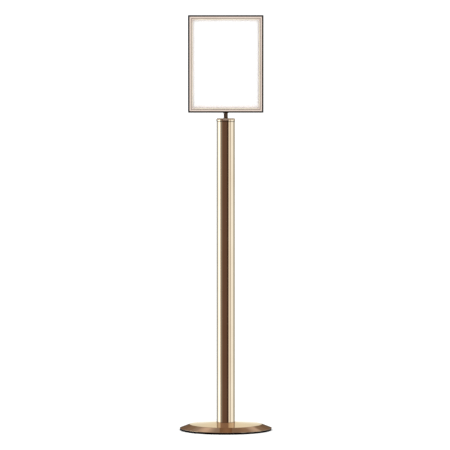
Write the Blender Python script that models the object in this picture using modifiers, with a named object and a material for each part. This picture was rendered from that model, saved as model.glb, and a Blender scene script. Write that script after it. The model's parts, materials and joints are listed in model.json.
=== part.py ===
"""Free-standing sign stand: a weighted round base, a tube post and a turning frame for an 11 x 14 in card.

Metres, +Z up. The origin is on the floor at the centre of the base, and the sign's front faces -Y.
Each sub-part is one object. What turns with the sign hangs from the empty head_pivot, on the swivel's
axis, and the card and the two lenses slide up out of the frame along Z.
"""

import math

import bmesh
import bpy
from mathutils import Matrix, Vector

INCH = 0.0254
GAP = 0.0003  # left between pieces that touch
LARGE_ROUND = 64  # sides of the base, the post and what fits them
MEDIUM_ROUND = 48  # sides of the cap and the plate inside it
SMALL_ROUND = 24  # sides of rods, washers and nuts' bores
TINY_ROUND = 12  # sides of the small screws

# Base
BASE_RADIUS = 13.75 * INCH / 2
PAD_THICKNESS = 0.0050
PAD_INSET = 0.0008  # how far its edge stays inside the cover's
SHEET = 0.0015  # the spun cover's thickness
LIP_HEIGHT = 0.0025  # straight part of the cover's edge
LIP_ROUNDING = 0.0022
BEVEL_WIDTH = 0.0365
BEVEL_TOP = 0.0220
BEVEL_ROUNDING = 0.0160
COVER_TOP = 0.0300  # height where the post stands on it
SEAT_MARGIN = 0.0030  # flat ring of the cover around the post's foot
WEIGHT_CLEARANCE = 0.0008  # between the cover's inside and the casting
RECESS_RADIUS = 0.0260  # pocket under the casting for the nut
RECESS_DEPTH = 0.0120

# Post
POST_RADIUS = 2.75 * INCH / 2
POST_WALL = 0.00165
POST_TOP = 1.1720
PLUG_HEIGHT = 0.0120
PLATE_RAISED = 0.0010  # height of the tie plate above the spigot's lower end

# Cap
CAP_OVERHANG = 0.0010
CAP_HEIGHT = 0.0132
CAP_DOME = 0.0010  # how far the top falls from its centre to its rim
CAP_ROUNDING = 0.0048
CAP_CHAMFER = 0.0006
CAP_FLOOR = 0.0030  # the cavity's ceiling, above the seat on the tube
SPIGOT_DEPTH = 0.0350
SPIGOT_BORE = 0.0240
BUSH_WALL = 0.0016

# Rods, washers and nuts
ROD_RADIUS = 0.0127 / 2  # half-inch rod
STUD_RADIUS = 0.625 * INCH / 2  # visible neck
THREAD_RADIUS = 0.009525 / 2  # three-eighths thread at both ends of the stud
ROD_NUT_FLATS = 0.0190
ROD_NUT_HEIGHT = 0.0080
STUD_NUT_FLATS = 0.0143
STUD_NUT_HEIGHT = 0.0080
THREAD_SPARE = 0.0020  # how far a thread stands out of its nut
WASHER = 0.0020
WASHER_RADIUS = 0.0200
NECK_WASHER = 0.0010
NECK_WASHER_RADIUS = 0.0095
THRUST_WASHER_RADIUS = 0.0110
SPRING_WASHER = 0.0015
SPRING_WASHER_RADIUS = 0.0095

# Frame
FRAME_WIDTH = 0.2860
FRAME_HEIGHT = 0.3690
FRAME_DEPTH = 0.0190
FRAME_BOTTOM = 1.2055
RAIL_FACE = 0.0180  # width of a rail seen from the front
RAIL_WEB = 0.0025
RAIL_FLANGE = 0.0022
EDGE_ROUNDING = 0.0050
GROOVE_START = 0.0112
GROOVE_WIDTH = 0.0030
GROOVE_DEPTH = 0.0012
GROOVE_SLOPE = 0.0004  # how far the groove's sides lean
LIP_NOSE = 0.0012
LIP_ROUNDING_IN = 0.0006
SLOT_MARGIN = 0.0005  # beside the card, where it leaves through the upper rail
SLOT_DEPTH = 0.0080
COLLAR_RADIUS = 0.0100
COLLAR_HEIGHT = 0.0025
COLLAR_ROUNDING = 0.0010

# Card and lenses
CARD_WIDTH = 11 * INCH
CARD_HEIGHT = 14 * INCH
CARD_THICKNESS = 0.0010
LENS_THICKNESS = 0.0018
LENS_BELOW_TOP = 0.0010

# Bar and keys inside the frame
BAR_LENGTH = 0.1900
BAR_HEIGHT = 0.0063
BAR_SCREW_X = 0.0700
KEY_ARM = 0.0380
KEY_WIDTH = 0.0085
KEY_THICKNESS = 0.0026
KEY_SCREW_INSET = 0.0080
SCREW_RADIUS = 0.0016
SCREW_RECESS = 0.0012  # depth of a set screw's socket
BAR_SHANK_RADIUS = 0.0019
BAR_HEAD_RADIUS = 0.0036
BAR_HEAD_HEIGHT = 0.0020
BAR_HEAD_RIM = 0.0006  # top of the head's straight edge
CUT_MARGIN = 0.0040  # how far a cutter reaches beyond what it cuts

# Heights and depths that follow from them
COVER_BOTTOM = PAD_THICKNESS + GAP
LIP_TOP = COVER_BOTTOM + LIP_HEIGHT
BEVEL_ANGLE = math.atan2(BEVEL_TOP - LIP_TOP, BEVEL_WIDTH)
SEAT = POST_TOP + GAP  # the cap's seat on the tube
CAP_TOP = SEAT + CAP_HEIGHT
CAVITY_TOP = SEAT + CAP_FLOOR
STUD_SHOULDER = CAP_TOP + NECK_WASHER + 2 * GAP
COLLAR_BOTTOM = FRAME_BOTTOM - GAP - COLLAR_HEIGHT
BAR_BOTTOM = FRAME_BOTTOM + RAIL_WEB + GAP
INSERT_BOTTOM = BAR_BOTTOM + BAR_HEIGHT + GAP
LENS_Y = CARD_THICKNESS / 2 + GAP + LENS_THICKNESS / 2
CHANNEL_HALF = LENS_Y + LENS_THICKNESS / 2 + GAP  # half the width that the inserts slide in
HALF_DEPTH = FRAME_DEPTH / 2
KEY_INSET = RAIL_WEB + GAP


def clear_scene():
    for obj in list(bpy.data.objects):
        bpy.data.objects.remove(obj, do_unlink=True)


def new_collection(name):
    collection = bpy.data.collections.new(name)
    bpy.context.scene.collection.children.link(collection)
    return collection


def new_material(name, colour, roughness, metallic, transmission=0.0):
    material = bpy.data.materials.new(name)
    material.use_nodes = True
    shader = material.node_tree.nodes["Principled BSDF"]
    shader.inputs["Base Color"].default_value = (*colour, 1.0)
    shader.inputs["Roughness"].default_value = roughness
    shader.inputs["Metallic"].default_value = metallic
    shader.inputs["Transmission Weight"].default_value = transmission
    return material


clear_scene()
PARTS = new_collection("sign_stand")
CUTTERS = new_collection("cutters")
BRONZE = new_material("bronze", (0.50, 0.34, 0.22), 0.16, 1.0)
DARK_BRONZE = new_material("dark_bronze", (0.10, 0.06, 0.04), 0.30, 1.0)
IRON = new_material("iron", (0.08, 0.08, 0.09), 0.70, 0.9)
STEEL = new_material("steel", (0.55, 0.56, 0.58), 0.35, 1.0)
RUBBER = new_material("rubber", (0.02, 0.02, 0.02), 0.85, 0.0)
NYLON = new_material("nylon", (0.80, 0.78, 0.72), 0.50, 0.0)
CARD = new_material("card", (0.95, 0.95, 0.94), 0.60, 0.0)
ACRYLIC = new_material("acrylic", (0.97, 0.98, 0.98), 0.05, 0.0, transmission=1.0)


def new_empty(name, location=(0, 0, 0), parent=None):
    empty = bpy.data.objects.new(name, None)
    empty.location = location
    PARTS.objects.link(empty)
    attach(empty, parent)
    return empty


def attach(obj, parent):
    """Parents obj and leaves it where it is."""
    if parent is None:
        return
    bpy.context.view_layer.update()
    obj.parent = parent
    obj.matrix_parent_inverse = parent.matrix_world.inverted()


def finish_part(obj, material, parent, smooth=True):
    obj.data.materials.clear()
    obj.data.materials.append(material)
    if smooth:
        obj.data.shade_smooth()
        obj.data.set_sharp_from_angle(angle=math.radians(30))
    attach(obj, parent)
    return obj


def filleted(corners, closed=False, steps=3):
    """The points of an outline given as (x, y, fillet radius) corners."""
    points = []
    for index, (x, y, radius) in enumerate(corners):
        here = Vector((x, y))
        at_end = not closed and index in (0, len(corners) - 1)
        if radius == 0 or at_end:
            points.append((x, y))
            continue
        back = (Vector(corners[index - 1][:2]) - here).normalized()
        ahead = (Vector(corners[(index + 1) % len(corners)][:2]) - here).normalized()
        half = back.angle(ahead) / 2
        centre = here + (back + ahead).normalized() * (radius / math.sin(half))
        first = here + back * (radius / math.tan(half)) - centre
        last = here + ahead * (radius / math.tan(half)) - centre
        for step in range(steps + 1):
            spoke = first.lerp(last, step / steps).normalized() * radius
            points.append(tuple(centre + spoke))
    return points


def turned(name, outline, sides, material, parent, z=0.0, closed=True):
    """A turned piece: (radius, height) points, outer side first and downwards, spun about Z."""
    mesh = bpy.data.meshes.new(name)
    bm = bmesh.new()
    verts = [bm.verts.new((radius, 0, height)) for radius, height in outline]
    for first, second in zip(verts, verts[1:]):
        bm.edges.new((first, second))
    if closed:
        bm.edges.new((verts[-1], verts[0]))
    bm.to_mesh(mesh)
    bm.free()
    obj = bpy.data.objects.new(name, mesh)
    obj.location.z = z
    PARTS.objects.link(obj)
    spin = obj.modifiers.new("Spin", "SCREW")
    spin.steps = sides
    spin.render_steps = sides
    spin.use_merge_vertices = True
    spin.merge_threshold = 0.00001
    spin.use_smooth_shade = True
    obj.data.materials.append(material)
    attach(obj, parent)
    return obj


def ring(name, outer, inner, low, high, sides, material, parent):
    """A plain ring, tube or drilled disc between two heights."""
    height = high - low
    outline = [(inner, height), (outer, height), (outer, 0), (inner, 0)]
    return turned(name, outline, sides, material, parent, z=low)


def circle_points(radius, sides, centre=(0, 0)):
    angles = [2 * math.pi * step / sides for step in range(sides)]
    return [(centre[0] + radius * math.cos(a), centre[1] + radius * math.sin(a)) for a in angles]


def plate_mesh(name, outlines, thickness):
    """A flat plate from closed outlines in XY, the first its edge and the others its holes."""
    curve = bpy.data.curves.new(name, "CURVE")
    curve.dimensions = "2D"
    curve.fill_mode = "BOTH"
    curve.extrude = thickness / 2
    for outline in outlines:
        spline = curve.splines.new("POLY")
        spline.points.add(len(outline) - 1)
        for point, (x, y) in zip(spline.points, outline):
            point.co = (x, y, 0, 1)
        spline.use_cyclic_u = True
    guide = bpy.data.objects.new(name + "_outline", curve)
    PARTS.objects.link(guide)
    bpy.context.view_layer.update()
    evaluated = guide.evaluated_get(bpy.context.evaluated_depsgraph_get())
    mesh = bpy.data.meshes.new_from_object(evaluated)
    mesh.name = name
    bpy.data.objects.remove(guide, do_unlink=True)
    bm = bmesh.new()
    bm.from_mesh(mesh)
    bmesh.ops.remove_doubles(bm, verts=bm.verts, dist=0.00001)
    bm.to_mesh(mesh)
    bm.free()
    return mesh


def plate(name, outlines, thickness, matrix, material, parent):
    obj = bpy.data.objects.new(name, plate_mesh(name, outlines, thickness))
    obj.matrix_world = matrix
    PARTS.objects.link(obj)
    return finish_part(obj, material, parent)


def block_mesh(name, size):
    mesh = bpy.data.meshes.new(name)
    bm = bmesh.new()
    bmesh.ops.create_cube(bm, size=1.0, matrix=Matrix.Diagonal((*size, 1.0)))
    bm.to_mesh(mesh)
    bm.free()
    return mesh


def block(name, size, centre, material, parent):
    obj = bpy.data.objects.new(name, block_mesh(name, size))
    obj.location = centre
    PARTS.objects.link(obj)
    return finish_part(obj, material, parent, smooth=False)


def hide_as_cutter(obj):
    for collection in list(obj.users_collection):
        collection.objects.unlink(obj)
    CUTTERS.objects.link(obj)
    obj.hide_render = True
    obj.display_type = "WIRE"


def cut(obj, cutter):
    cutting = obj.modifiers.new("Cut", "BOOLEAN")
    cutting.operation = "DIFFERENCE"
    cutting.solver = "EXACT"
    cutting.object = cutter


def round_cutter(name, radius, low, high, x=0.0):
    outline = [(0, high), (radius, high), (radius, low), (0, low)]
    cutter = turned(name, outline, SMALL_ROUND, STEEL, None, closed=False)
    cutter.location.x = x
    hide_as_cutter(cutter)
    return cutter


def hex_nut(name, flats, bore, low, height, parent):
    rim = circle_points(flats / math.sqrt(3), 6)
    hole = circle_points(bore, SMALL_ROUND)
    place = Matrix.Translation((0, 0, low + height / 2))
    return plate(name, [rim, hole], height, place, STEEL, parent)


def make_base(parent):
    rod_hole = ROD_RADIUS + GAP
    pad_radius = BASE_RADIUS - PAD_INSET
    ring("floor_pad", pad_radius, RECESS_RADIUS, 0.0, PAD_THICKNESS, LARGE_ROUND, RUBBER, parent)

    bevel_radius = BASE_RADIUS - BEVEL_WIDTH
    corners = [
        (rod_hole, COVER_TOP, 0),
        (POST_RADIUS + SEAT_MARGIN, COVER_TOP, 0),
        (bevel_radius, BEVEL_TOP, BEVEL_ROUNDING),
        (BASE_RADIUS, LIP_TOP, LIP_ROUNDING),
        (BASE_RADIUS, COVER_BOTTOM, 0),
    ]
    cover = turned("base_cover", filleted(corners), LARGE_ROUND, BRONZE, parent, closed=False)
    shell = cover.modifiers.new("Sheet", "SOLIDIFY")
    shell.thickness = SHEET
    shell.offset = -1.0
    shell.use_even_offset = True

    inside = SHEET + WEIGHT_CLEARANCE
    weight_radius = BASE_RADIUS - 2 * inside
    seat = COVER_TOP - SHEET - GAP
    under_bevel = inside / math.cos(BEVEL_ANGLE)
    weight_edge = LIP_TOP + 2 * inside * math.tan(BEVEL_ANGLE) - under_bevel
    recess_top = COVER_BOTTOM + RECESS_DEPTH
    outline = [
        (rod_hole, seat),
        (POST_RADIUS, seat),
        (bevel_radius, BEVEL_TOP - under_bevel - GAP),
        (weight_radius, weight_edge),
        (weight_radius, COVER_BOTTOM),
        (RECESS_RADIUS, COVER_BOTTOM),
        (RECESS_RADIUS, recess_top),
        (rod_hole, recess_top),
    ]
    turned("base_weight", outline, LARGE_ROUND, IRON, parent)

    washer_top = recess_top - GAP
    washer_low = washer_top - WASHER
    nut_bottom = washer_low - GAP - ROD_NUT_HEIGHT
    ring("tie_rod_washer", WASHER_RADIUS, rod_hole, washer_low, washer_top, SMALL_ROUND, STEEL, parent)
    hex_nut("tie_rod_nut", ROD_NUT_FLATS, rod_hole, nut_bottom, ROD_NUT_HEIGHT, parent)
    return nut_bottom


def make_post(parent, rod_bottom):
    foot = COVER_TOP + GAP
    inner = POST_RADIUS - POST_WALL
    rod_hole = ROD_RADIUS + GAP
    ring("post_tube", POST_RADIUS, inner, foot, POST_TOP, LARGE_ROUND, BRONZE, parent)
    ring("foot_plug", inner - GAP, rod_hole, foot, foot + PLUG_HEIGHT, LARGE_ROUND, STEEL, parent)

    plate_bottom = SEAT - SPIGOT_DEPTH + PLATE_RAISED
    plate_top = plate_bottom + ROD_NUT_HEIGHT
    nut_bottom = plate_top + GAP
    rod_top = nut_bottom + ROD_NUT_HEIGHT + THREAD_SPARE
    ring("tie_plate", SPIGOT_BORE - GAP, rod_hole, plate_bottom, plate_top, MEDIUM_ROUND, STEEL, parent)
    hex_nut("tie_rod_top_nut", ROD_NUT_FLATS, rod_hole, nut_bottom, ROD_NUT_HEIGHT, parent)
    outline = [(0, rod_top), (ROD_RADIUS, rod_top), (ROD_RADIUS, rod_bottom), (0, rod_bottom)]
    turned("tie_rod", outline, SMALL_ROUND, STEEL, parent, closed=False)


def make_cap(parent):
    hole = THREAD_RADIUS + GAP
    bush_outer = hole + BUSH_WALL
    bore = bush_outer + GAP
    rim = POST_RADIUS + CAP_OVERHANG
    spigot = POST_RADIUS - POST_WALL - GAP
    corners = [
        (bore, CAP_HEIGHT, 0),
        (rim, CAP_HEIGHT - CAP_DOME, CAP_ROUNDING),
        (rim, CAP_CHAMFER, 0),
        (rim - CAP_CHAMFER, 0, 0),
        (spigot, 0, 0),
        (spigot, -SPIGOT_DEPTH, 0),
        (SPIGOT_BORE, -SPIGOT_DEPTH, 0),
        (SPIGOT_BORE, CAP_FLOOR, 0),
        (bore, CAP_FLOOR, 0),
    ]
    turned("post_cap", filleted(corners, closed=True), MEDIUM_ROUND, BRONZE, parent, z=SEAT)
    ring("swivel_bush", bush_outer, hole, CAVITY_TOP, CAP_TOP, SMALL_ROUND, NYLON, parent)
    low = CAP_TOP + GAP
    ring("neck_washer", NECK_WASHER_RADIUS, hole, low, low + NECK_WASHER, SMALL_ROUND, DARK_BRONZE, parent)
    thrust_top = CAVITY_TOP - GAP
    thrust_bottom = thrust_top - WASHER
    ring("thrust_washer", THRUST_WASHER_RADIUS, hole, thrust_bottom, thrust_top, SMALL_ROUND, NYLON, parent)
    return thrust_bottom


def make_neck(head, thrust_bottom):
    hole = THREAD_RADIUS + GAP
    spring_top = thrust_bottom - GAP
    spring_bottom = spring_top - SPRING_WASHER
    nut_bottom = spring_bottom - GAP - STUD_NUT_HEIGHT
    ring("spring_washer", SPRING_WASHER_RADIUS, hole, spring_bottom, spring_top, SMALL_ROUND, STEEL, head)
    hex_nut("lock_nut", STUD_NUT_FLATS, hole, nut_bottom, STUD_NUT_HEIGHT, head)

    stud_top = BAR_BOTTOM + BAR_HEIGHT - GAP
    stud_bottom = nut_bottom - THREAD_SPARE
    outline = [
        (0, stud_top),
        (THREAD_RADIUS, stud_top),
        (THREAD_RADIUS, COLLAR_BOTTOM - GAP),
        (STUD_RADIUS, COLLAR_BOTTOM - GAP),
        (STUD_RADIUS, STUD_SHOULDER),
        (THREAD_RADIUS, STUD_SHOULDER),
        (THREAD_RADIUS, stud_bottom),
        (0, stud_bottom),
    ]
    turned("neck_stud", outline, SMALL_ROUND, DARK_BRONZE, head, closed=False)
    collar = [
        (hole, COLLAR_HEIGHT, 0),
        (COLLAR_RADIUS, COLLAR_HEIGHT, 0),
        (COLLAR_RADIUS, 0, COLLAR_ROUNDING),
        (hole, 0, 0),
    ]
    turned("neck_collar", filleted(collar, closed=True), SMALL_ROUND, DARK_BRONZE, head, z=COLLAR_BOTTOM)


def rail_outline():
    """A rail's section: x runs in from the frame's outer edge, y is the depth from its middle plane."""
    groove_end = GROOVE_START + GROOVE_WIDTH
    groove_floor = HALF_DEPTH - GROOVE_DEPTH
    nose = CHANNEL_HALF + LIP_NOSE
    inner_face = groove_floor - RAIL_FLANGE
    front_half = [
        (0, HALF_DEPTH, EDGE_ROUNDING),
        (GROOVE_START, HALF_DEPTH, 0),
        (GROOVE_START + GROOVE_SLOPE, groove_floor, 0),
        (groove_end, groove_floor, 0),
        (groove_end + GROOVE_SLOPE, groove_floor + GROOVE_SLOPE, 0),
        (RAIL_FACE, nose, LIP_ROUNDING_IN),
        (RAIL_FACE, CHANNEL_HALF, 0),
        (RAIL_FACE - RAIL_FLANGE, CHANNEL_HALF, 0),
        (groove_end, inner_face, 0),
        (RAIL_WEB, inner_face, 0),
    ]
    rear_half = [(x, -y, radius) for x, y, radius in reversed(front_half)]
    return filleted(front_half + rear_half, closed=True, steps=3)


def make_rail(name, length, place, head):
    """A length of the section with both ends mitred: each end point moves in by its depth in the rail."""
    mesh = plate_mesh(name, [rail_outline()], length)
    for vertex in mesh.vertices:
        vertex.co.z -= math.copysign(vertex.co.x + GAP, vertex.co.z)
    rail = bpy.data.objects.new(name, mesh)
    rail.matrix_world = place
    PARTS.objects.link(rail)
    return finish_part(rail, BRONZE, head)


def make_frame(head):
    middle = FRAME_BOTTOM + FRAME_HEIGHT / 2
    top = FRAME_BOTTOM + FRAME_HEIGHT
    side = FRAME_WIDTH / 2
    flip = Matrix.Rotation(math.pi, 4, "Z")
    turn_up = Matrix.Rotation(-math.pi / 2, 4, "Y")
    turn_down = Matrix.Rotation(math.pi / 2, 4, "Y")
    make_rail("rail_left", FRAME_HEIGHT, Matrix.Translation((-side, 0, middle)), head)
    make_rail("rail_right", FRAME_HEIGHT, Matrix.Translation((side, 0, middle)) @ flip, head)
    bottom = make_rail("rail_bottom", FRAME_WIDTH, Matrix.Translation((0, 0, FRAME_BOTTOM)) @ turn_up, head)
    upper = make_rail("rail_top", FRAME_WIDTH, Matrix.Translation((0, 0, top)) @ turn_down, head)

    slot_size = (CARD_WIDTH + 2 * SLOT_MARGIN, 2 * CHANNEL_HALF, SLOT_DEPTH)
    slot = bpy.data.objects.new("insert_slot", block_mesh("insert_slot", slot_size))
    slot.location.z = top
    hide_as_cutter(slot)
    cut(upper, slot)
    bar = block(
        "neck_bar",
        (BAR_LENGTH, 2 * (HALF_DEPTH - GROOVE_DEPTH - RAIL_FLANGE - GAP), BAR_HEIGHT),
        (0, 0, BAR_BOTTOM + BAR_HEIGHT / 2),
        STEEL,
        head,
    )
    stud_hole = round_cutter(
        "stud_hole", THREAD_RADIUS + GAP, FRAME_BOTTOM - CUT_MARGIN, INSERT_BOTTOM + CUT_MARGIN
    )
    cut(bottom, stud_hole)
    cut(bar, stud_hole)
    for label, x in (("left", -BAR_SCREW_X), ("right", BAR_SCREW_X)):
        make_bar_screw(label, x, bottom, bar, head)


def screw_outline(grow, low, tip):
    """Countersunk screw, head down: flush head, cone and shank. grow widens it to the hole around it."""
    shank = BAR_SHANK_RADIUS + grow
    rim = BAR_HEAD_RADIUS + grow
    cone_top = BAR_HEAD_HEIGHT + grow
    return [(0, tip), (shank, tip), (shank, cone_top), (rim, BAR_HEAD_RIM), (rim, low), (0, low)]


def make_bar_screw(label, x, rail, bar, head):
    reach = RAIL_WEB + BAR_HEIGHT
    shape = screw_outline(0.0, GAP, reach)
    hole_shape = screw_outline(GAP, -CUT_MARGIN, reach + CUT_MARGIN)
    screw = turned("bar_screw_" + label, shape, TINY_ROUND, STEEL, None, z=FRAME_BOTTOM, closed=False)
    screw.location.x = x
    attach(screw, head)
    hole = turned("bar_hole_" + label, hole_shape, TINY_ROUND, STEEL, None, closed=False)
    hole.location = (x, 0, FRAME_BOTTOM)
    hide_as_cutter(hole)
    cut(rail, hole)
    cut(bar, hole)


def key_outline():
    arm, width = KEY_ARM, KEY_WIDTH
    return [(0, 0), (arm, 0), (arm, width), (width, width), (width, arm), (0, arm)]


def make_corner(label, corner, spin, head):
    """A drilled key behind the inserts, its two set screws, and a plain plate in front of them."""
    spots = [(KEY_ARM - KEY_SCREW_INSET, KEY_WIDTH / 2), (KEY_WIDTH / 2, KEY_ARM - KEY_SCREW_INSET)]
    holes = [circle_points(SCREW_RADIUS + GAP, TINY_ROUND, spot) for spot in spots]
    depth = CHANNEL_HALF + GAP + KEY_THICKNESS / 2
    stand_up = Matrix.Rotation(spin, 4, "Y") @ Matrix.Rotation(math.pi / 2, 4, "X")
    step_in = Matrix.Translation((KEY_INSET, KEY_INSET, 0))
    behind = Matrix.Translation((corner[0], depth, corner[1])) @ stand_up @ step_in
    before = Matrix.Translation((corner[0], -depth, corner[1])) @ stand_up @ step_in
    plate("corner_key_" + label, [key_outline(), *holes], KEY_THICKNESS, behind, STEEL, head)
    plate("corner_plate_" + label, [key_outline()], KEY_THICKNESS, before, STEEL, head)
    half = KEY_THICKNESS / 2
    outline = [
        (0, half - SCREW_RECESS),
        (SCREW_RADIUS / 2, half - SCREW_RECESS),
        (SCREW_RADIUS / 2, half),
        (SCREW_RADIUS, half),
        (SCREW_RADIUS, -half),
        (0, -half),
    ]
    for number, (x, y) in enumerate(spots, 1):
        name = f"key_screw_{label}_{number}"
        screw = turned(name, outline, TINY_ROUND, STEEL, None, closed=False)
        screw.matrix_world = behind @ Matrix.Translation((x, y, 0))
        attach(screw, head)


def make_corners(head):
    side = FRAME_WIDTH / 2
    low = FRAME_BOTTOM
    high = FRAME_BOTTOM + FRAME_HEIGHT
    corners = (
        ("lower_left", (-side, low)),
        ("upper_left", (-side, high)),
        ("upper_right", (side, high)),
        ("lower_right", (side, low)),
    )
    for index, (label, corner) in enumerate(corners):
        make_corner(label, corner, index * math.pi / 2, head)


def make_inserts(head):
    """The card between two clear lenses. All three stand on the bar and slide up out of the slot."""
    lens_height = FRAME_BOTTOM + FRAME_HEIGHT - LENS_BELOW_TOP - INSERT_BOTTOM
    lens_size = (CARD_WIDTH, LENS_THICKNESS, lens_height)
    lens_z = INSERT_BOTTOM + lens_height / 2
    card_size = (CARD_WIDTH, CARD_THICKNESS, CARD_HEIGHT)
    block("sign_card", card_size, (0, 0, INSERT_BOTTOM + CARD_HEIGHT / 2), CARD, head)
    block("front_lens", lens_size, (0, -LENS_Y, lens_z), ACRYLIC, head)
    block("rear_lens", lens_size, (0, LENS_Y, lens_z), ACRYLIC, head)


def main():
    stand = new_empty("stand_origin")
    nut_bottom = make_base(stand)
    make_post(stand, rod_bottom=nut_bottom - THREAD_SPARE / 2)
    thrust_bottom = make_cap(stand)
    head = new_empty("head_pivot", (0, 0, CAP_TOP), stand)
    make_neck(head, thrust_bottom)
    make_frame(head)
    make_corners(head)
    make_inserts(head)


main()
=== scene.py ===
"""Looks of the sign stand: polished statuary bronze over a black rubber foot, with a blank white card.

Metres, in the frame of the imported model. The front faces -Y. Places and sizes come from the boxes of the
CAD nodes, and the details too fine for a box are named below. Where an outline's corners are listed, each
is a place in the section and the radius of its fillet.
"""

import json
import math

import bmesh
import bpy
from mathutils import Matrix, Vector


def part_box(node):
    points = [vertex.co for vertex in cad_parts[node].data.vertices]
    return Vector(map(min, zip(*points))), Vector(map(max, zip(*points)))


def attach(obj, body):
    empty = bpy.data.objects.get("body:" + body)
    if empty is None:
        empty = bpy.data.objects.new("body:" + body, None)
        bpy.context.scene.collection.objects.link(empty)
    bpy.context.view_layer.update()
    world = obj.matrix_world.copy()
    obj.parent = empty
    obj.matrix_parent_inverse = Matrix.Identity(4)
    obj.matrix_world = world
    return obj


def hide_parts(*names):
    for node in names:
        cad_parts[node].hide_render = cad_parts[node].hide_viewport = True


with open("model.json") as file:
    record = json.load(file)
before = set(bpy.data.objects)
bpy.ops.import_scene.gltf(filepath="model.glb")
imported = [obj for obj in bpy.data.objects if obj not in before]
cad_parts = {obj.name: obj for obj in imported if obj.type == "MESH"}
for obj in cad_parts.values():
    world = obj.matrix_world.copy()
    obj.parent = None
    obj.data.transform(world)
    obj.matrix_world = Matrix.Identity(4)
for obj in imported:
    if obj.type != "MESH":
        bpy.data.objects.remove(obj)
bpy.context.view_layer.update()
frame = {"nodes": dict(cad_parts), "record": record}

GAP = 0.0003
ROUND = 192  # sides of the large turned pieces
SMALL_ROUND = 64
HOLD = 0.0004  # a held edge stops a fillet's shading from spreading into the flat beside it
SAME_PLACE = 0.000005  # points closer than this are one point
SHARP = 30  # degrees; edges less sharp than this are shaded smooth
CUT_MARGIN = 0.0100  # how far a drill reaches above and below

# Base
SHEET = 0.0015
LIP_HEIGHT = 0.0025
LIP_PAINTED_SHADE = 0.0018  # lower part of the lip, painted black as shade
LIP_CORNER = 0.0008  # how far the sheet is bent before its inside is straight
BEVEL_WIDTH = 0.0365
BEVEL_TOP = 0.0220
BEVEL_ROUNDING = 0.0160
BEVEL_SHEET = 1.08 * SHEET  # the sheet measured straight down at the bevel's top
SEAT_MARGIN = 0.0030
SEAT_ROUNDING = 0.0020
PAD_HOLE = 0.0260

# Post and cap
POST_WALL = 0.00165
JOINT_SHADE = 0.0005  # painted shade: a black band on each side of the joint between them
CAP_DOME = 0.0010
CAP_ROUNDING = 0.0058
CAP_FLOOR = 0.0030
CAP_REVEAL = 0.0006  # shadow line above the tube
REVEAL_STEP = 0.0006  # how far the seat reaches out of the spigot, inside the shadow line
SPIGOT_BORE = 0.0240

# Rods, nuts and screws
THREAD_RADIUS = 0.009525 / 2
ROD_RADIUS = 0.0127 / 2
ROD_PITCH = 0.00195
ROD_THREAD_DEPTH = 0.0011
THREAD_END = 0.001  # plain end under the last turn
CREST = 0.10  # the flat crest's share of a turn
NUT_CROWN = 0.97  # the chamfer's inner circle as a share of the nut's flats
NUT_CHAMFER = math.radians(30)
MIDDLE_CLEAR = 0.001  # how far the chamfering tool stands clear of the nut at its middle, rims and sides
RIM_CLEAR = 0.00001
SIDE_CLEAR = 0.0001
SHANK_SHARE = 0.53  # a bar screw's shank against its head
SHANK_TOP = 0.0020  # where its cone ends
HEAD_RIM = 0.0002
CROSS_LENGTH = 1.1  # the recess against the head's radius
CROSS_WIDTH = 0.22
CROSS_DEPTH = 0.0016

# Frame and card
RAIL_WEB = 0.0025
RAIL_FLANGE = 0.0022
EDGE_ROUNDING = 0.0050
FRAME_EDGE_SHADE = 0.0060  # width of the frame's outer edge, painted black as shade
GROOVE_START = 0.0112
GROOVE_WIDTH = 0.0030
GROOVE_DEPTH = 0.0012
GROOVE_SIDES = (0.0006, 0.0004)  # how far the outer and the inner side lean
GROOVE_TOP = 0.0003  # depths between which the groove is duller and painted darker as shade
GROOVE_BOTTOM = GROOVE_DEPTH + 0.0001
ON_SIDE = 0.0001  # faces this close to the frame's outside are its side, and not its rounded edge
SIDE_STARTS = 0.9 * EDGE_ROUNDING
PLAIN, SHADE_EDGE, DULL_SHADE_GROOVE, SIDE_SHADE_FACE = range(4)  # the materials of a rail's faces, in order: plain, then painted shade on the outer edge, in the groove and on the outer side
LIP_FALL = 0.0012
SLOT_MARGIN = 0.0005  # beside the card, where it leaves through the upper rail
SLOT_DEPTH = 0.0080
WARM_BOUNCE_WIDTH = 0.0300  # band of the card painted with warm bounce light from the frame, and the part of it under the rails
WARM_BOUNCE_HIDDEN = 0.0130

# Camera: a long lens, about level with the middle of the sign
CAMERA_DISTANCE = 12.5
CAMERA_HEIGHT = 1.357
PICTURE_HEIGHT = 1.7071  # what the square picture covers at the stand
PICTURE_CENTRE = (-0.0029, 0.7798)  # x and z at the middle of the picture
SENSOR = 36.0


# ---------------------------------------------------------------- meshes

def filleted(corners, closed=False, steps=8):
    """An outline's points from its corners (x, y, fillet radius), with held edges beside each fillet."""
    points = []
    for index, (x, y, radius) in enumerate(corners):
        here = Vector((x, y))
        if radius == 0 or (not closed and index in (0, len(corners) - 1)):
            points.append((x, y))
            continue
        back_leg = Vector(corners[index - 1][:2]) - here
        next_leg = Vector(corners[(index + 1) % len(corners)][:2]) - here
        back, ahead = back_leg.normalized(), next_leg.normalized()
        half = back.angle(ahead) / 2
        reach = radius / math.tan(half)
        centre = here + (back + ahead).normalized() * (radius / math.sin(half))
        if back_leg.length > reach + 4 * HOLD:
            points.append(tuple(here + back * (reach + HOLD)))
        first = here + back * reach - centre
        last = here + ahead * reach - centre
        for step in range(steps + 1):
            spoke = first.lerp(last, step / steps).normalized() * radius
            points.append(tuple(centre + spoke))
        if next_leg.length > reach + 4 * HOLD:
            points.append(tuple(here + ahead * (reach + HOLD)))
    return points


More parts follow.
